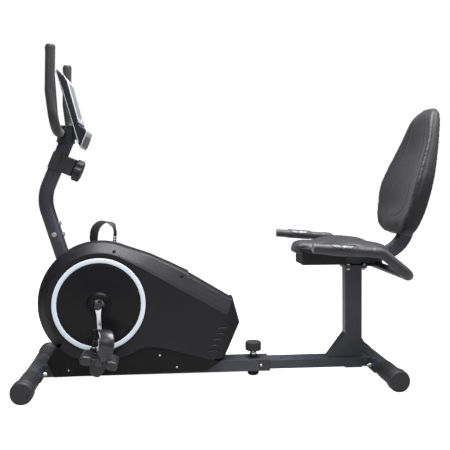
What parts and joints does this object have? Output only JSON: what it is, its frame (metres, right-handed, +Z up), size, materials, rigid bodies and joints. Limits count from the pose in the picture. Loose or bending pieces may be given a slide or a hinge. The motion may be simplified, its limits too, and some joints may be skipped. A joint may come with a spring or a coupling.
{
  "type": "recumbent exercise bike",
  "caption": "Recumbent exercise bike: enclosed belt-driven flywheel, cranks and strapped pedals, handlebar and console on a bent post, seat with backrest and side handles on a sliding rail.",
  "frame": {"origin": "on the floor, in the middle of the bike's overall length and width", "axes": "+X to the rear, towards the backrest; +Y to the rider's right; +Z up"},
  "size_m": [1.4688, 0.6552, 1.134],
  "materials": {
    "frame_paint": "satin dark grey paint",
    "grip_tube_paint": "satin near-black paint",
    "cap_plastic": "fine matt texture",
    "housing_plastic": "satin with fine grain",
    "cover_plastic": "matt with fine texture",
    "ring_plastic": "smooth light blue-white",
    "disc_plastic": "semi-gloss black",
    "bright_steel": "zinc plated",
    "crank_chrome": "polished",
    "pulley_plastic": "moulded black",
    "belt_rubber": "ribbed",
    "flywheel_iron": "turned rim",
    "magnet_ferrite": "dull sintered",
    "pedal_plastic": "moulded with ribs",
    "strap_rubber": "moulded",
    "foot_rubber": "moulded",
    "foam_grip": "soft foam",
    "console_dark": "satin dark blue-black",
    "console_silver": "satin silver",
    "console_window": "smoked",
    "key_grey": "satin",
    "seat_vinyl": "soft grained vinyl",
    "board_black": "moulded with rough back"
  },
  "bodies": {
    "frame": {"main_frame": "frame_paint", "front_stabilizer": "frame_paint", "front_end_caps": "cap_plastic", "frame_bolts": "bright_steel", "middle_foot": "foot_rubber", "rail_sleeve": "cap_plastic", "pin_gland": "bright_steel", "left_housing": "housing_plastic", "right_housing": "housing_plastic", "lower_covers": "cover_plastic", "cover_screws": "bright_steel", "ring_trims": "ring_plastic", "disc_covers": "disc_plastic", "crank_bearings": "bright_steel", "drive_belt": "belt_rubber", "flywheel_axle": "bright_steel", "idler_arm": "bright_steel", "magnet_arm_pin": "bright_steel", "tension_cable": "belt_rubber", "front_post": "frame_paint", "tension_box": "cap_plastic", "handlebar": "grip_tube_paint", "handlebar_clamp": "grip_tube_paint", "clamp_screws": "bright_steel", "handlebar_grips": "foam_grip", "console_shell": "console_dark", "console_face": "console_silver", "console_lens": "console_window", "lock_spring": "bright_steel"},
    "crank": {"crank_axle": "bright_steel", "crank_arms": "crank_chrome", "crank_caps": "cap_plastic", "drive_pulley": "pulley_plastic", "pedal_spindles": "bright_steel"},
    "flywheel": {"flywheel": "flywheel_iron"},
    "idler": {"idler_wheel": "pulley_plastic"},
    "left_pedal": {"left_pedal": "pedal_plastic", "left_pedal_strap": "strap_rubber"},
    "right_pedal": {"right_pedal": "pedal_plastic", "right_pedal_strap": "strap_rubber"},
    "tension_knob": {"tension_knob": "cap_plastic"},
    "magnet_arm": {"magnet_arm": "bright_steel", "brake_magnets": "magnet_ferrite"},
    "seat_carriage": {"seat_rail": "frame_paint", "rear_stabilizer": "frame_paint", "rear_end_caps": "cap_plastic", "seat_frame_bolts": "bright_steel", "seat_bracket": "frame_paint", "seat_pan": "board_black", "seat_cushion": "seat_vinyl", "seat_handle": "grip_tube_paint", "pulse_grips": "foam_grip", "backrest_board": "board_black", "backrest_cushion": "seat_vinyl"},
    "seat_lock": {"lock_knob": "cap_plastic", "lock_pin": "bright_steel"},
    "mode_button": {"mode_button": "key_grey"},
    "set_button": {"set_button": "key_grey"},
    "reset_button": {"reset_button": "key_grey"}
  },
  "joints": [
    {"name": "crank_spin", "type": "hinge", "parent": "frame", "child": "crank", "pos_m": [-0.47836, 0, 0.272], "axis": [0, 1, 0], "continuous": true},
    {"name": "flywheel_spin", "type": "hinge", "parent": "frame", "child": "flywheel", "pos_m": [-0.19736, 0, 0.205], "axis": [0, 1, 0], "continuous": true},
    {"name": "idler_spin", "type": "hinge", "parent": "frame", "child": "idler", "pos_m": [-0.31205, 0.042, 0.14042], "axis": [0, 1, 0], "continuous": true},
    {"name": "left_pedal_spin", "type": "hinge", "parent": "crank", "child": "left_pedal", "pos_m": [-0.46685, -0.15, 0.1074], "axis": [0, 1, 0], "continuous": true},
    {"name": "right_pedal_spin", "type": "hinge", "parent": "crank", "child": "right_pedal", "pos_m": [-0.48987, 0.15, 0.4366], "axis": [0, 1, 0], "continuous": true},
    {"name": "tension_turn", "type": "hinge", "parent": "frame", "child": "tension_knob", "pos_m": [-0.62565, 0, 0.76003], "axis": [0.9272, 0, -0.3746], "range_deg": [0, 300]},
    {"name": "magnet_swing", "type": "hinge", "parent": "frame", "child": "magnet_arm", "pos_m": [-0.09728, 0, 0.12681], "axis": [0, -1, 0], "range_deg": [0, 3]},
    {"name": "seat_slide", "type": "slide", "parent": "frame", "child": "seat_carriage", "axis": [1, 0, 0], "range_m": [-0.156, 0.156]},
    {"name": "lock_pull", "type": "slide", "parent": "frame", "child": "seat_lock", "axis": [0, 0, 1], "range_m": [0, 0.01], "stiffness_N_per_m": 900, "deforming": ["lock_spring"]},
    {"name": "mode_press", "type": "slide", "parent": "frame", "child": "mode_button", "axis": [-0.9324, 0, 0.3615], "range_m": [0, 0.0015], "stiffness_N_per_m": 900},
    {"name": "set_press", "type": "slide", "parent": "frame", "child": "set_button", "axis": [-0.9324, 0, 0.3615], "range_m": [0, 0.0015], "stiffness_N_per_m": 900},
    {"name": "reset_press", "type": "slide", "parent": "frame", "child": "reset_button", "axis": [-0.9324, 0, 0.3615], "range_m": [0, 0.0015], "stiffness_N_per_m": 900}
  ],
  "couplings": [
    {"joint": "flywheel_spin", "follows": "crank_spin", "ratio": 4.8077},
    {"joint": "idler_spin", "follows": "crank_spin", "ratio": -5.6818},
    {"joint": "magnet_swing", "follows": "tension_turn", "ratio": 0.01}
  ]
}
